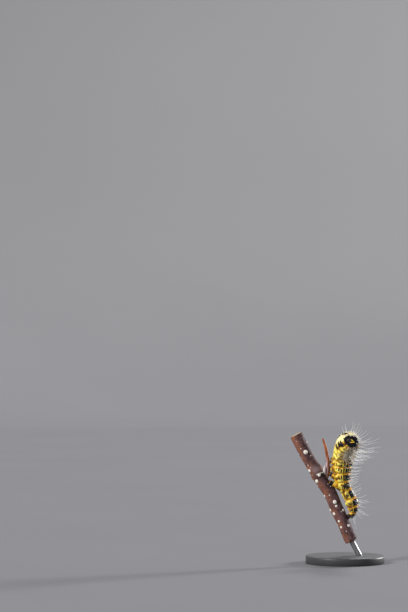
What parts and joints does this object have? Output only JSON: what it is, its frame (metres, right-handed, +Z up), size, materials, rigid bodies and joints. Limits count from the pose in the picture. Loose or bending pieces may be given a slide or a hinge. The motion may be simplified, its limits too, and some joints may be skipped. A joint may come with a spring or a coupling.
{
  "type": "buff-tip moth larva on a twig",
  "caption": "Still, life-size buff-tip moth larva that clasps a short cut twig with its prolegs, front end turned aside and up, held on a small round display stand.",
  "frame": {"origin": "middle of the underside of the stand's round base, on the surface that the stand rests on", "axes": "+Z up, along the length of the hanging rear body; +X where the larva's back faces; the twig leans towards -X as it rises; the front end and head turn out towards -Y, where the camera of the picture stands"},
  "size_m": [0.031, 0.0279, 0.049],
  "materials": {
    "larva_skin": "soft skin, yellow with rows of black dashes, orange yellow bands and long white hairs",
    "proleg_skin": "soft orange yellow skin with a black outer plate",
    "leg_chitin": "hard, glossy black",
    "head_chitin": "hard, glossy black with a yellow chevron on the face",
    "pale_mouthparts": "pale brown, darker at the tips",
    "bark": "purple brown bark with raised white lenticels",
    "shoot_bark": "smooth orange brown young bark",
    "stand_base": "satin charcoal",
    "stand_rod": "plain drawn steel"
  },
  "bodies": {
    "root": {"abdomen_1": "larva_skin", "abdomen_10": "larva_skin", "abdomen_2": "larva_skin", "abdomen_3": "larva_skin", "abdomen_4": "larva_skin", "abdomen_5": "larva_skin", "abdomen_6": "larva_skin", "abdomen_7": "larva_skin", "abdomen_8": "larva_skin", "abdomen_9": "larva_skin", "antenna_left": "pale_mouthparts", "antenna_right": "pale_mouthparts", "head": "head_chitin", "labium": "pale_mouthparts", "labrum": "pale_mouthparts", "leg_1_left": "leg_chitin", "leg_1_right": "leg_chitin", "leg_2_left": "leg_chitin", "leg_2_right": "leg_chitin", "leg_3_left": "leg_chitin", "leg_3_right": "leg_chitin", "mandible_left": "head_chitin", "mandible_right": "head_chitin", "proleg_3_left": "proleg_skin", "proleg_3_right": "proleg_skin", "proleg_4_left": "proleg_skin", "proleg_4_right": "proleg_skin", "proleg_5_left": "proleg_skin", "proleg_5_right": "proleg_skin", "proleg_6_left": "proleg_skin", "proleg_6_right": "proleg_skin", "proleg_anal_left": "proleg_skin", "proleg_anal_right": "proleg_skin", "stand_base": "stand_base", "stand_rod": "stand_rod", "thorax_1": "larva_skin", "thorax_2": "larva_skin", "thorax_3": "larva_skin", "twig": "bark", "twig_side_shoot": "shoot_bark"}
  },
  "joints": []
}
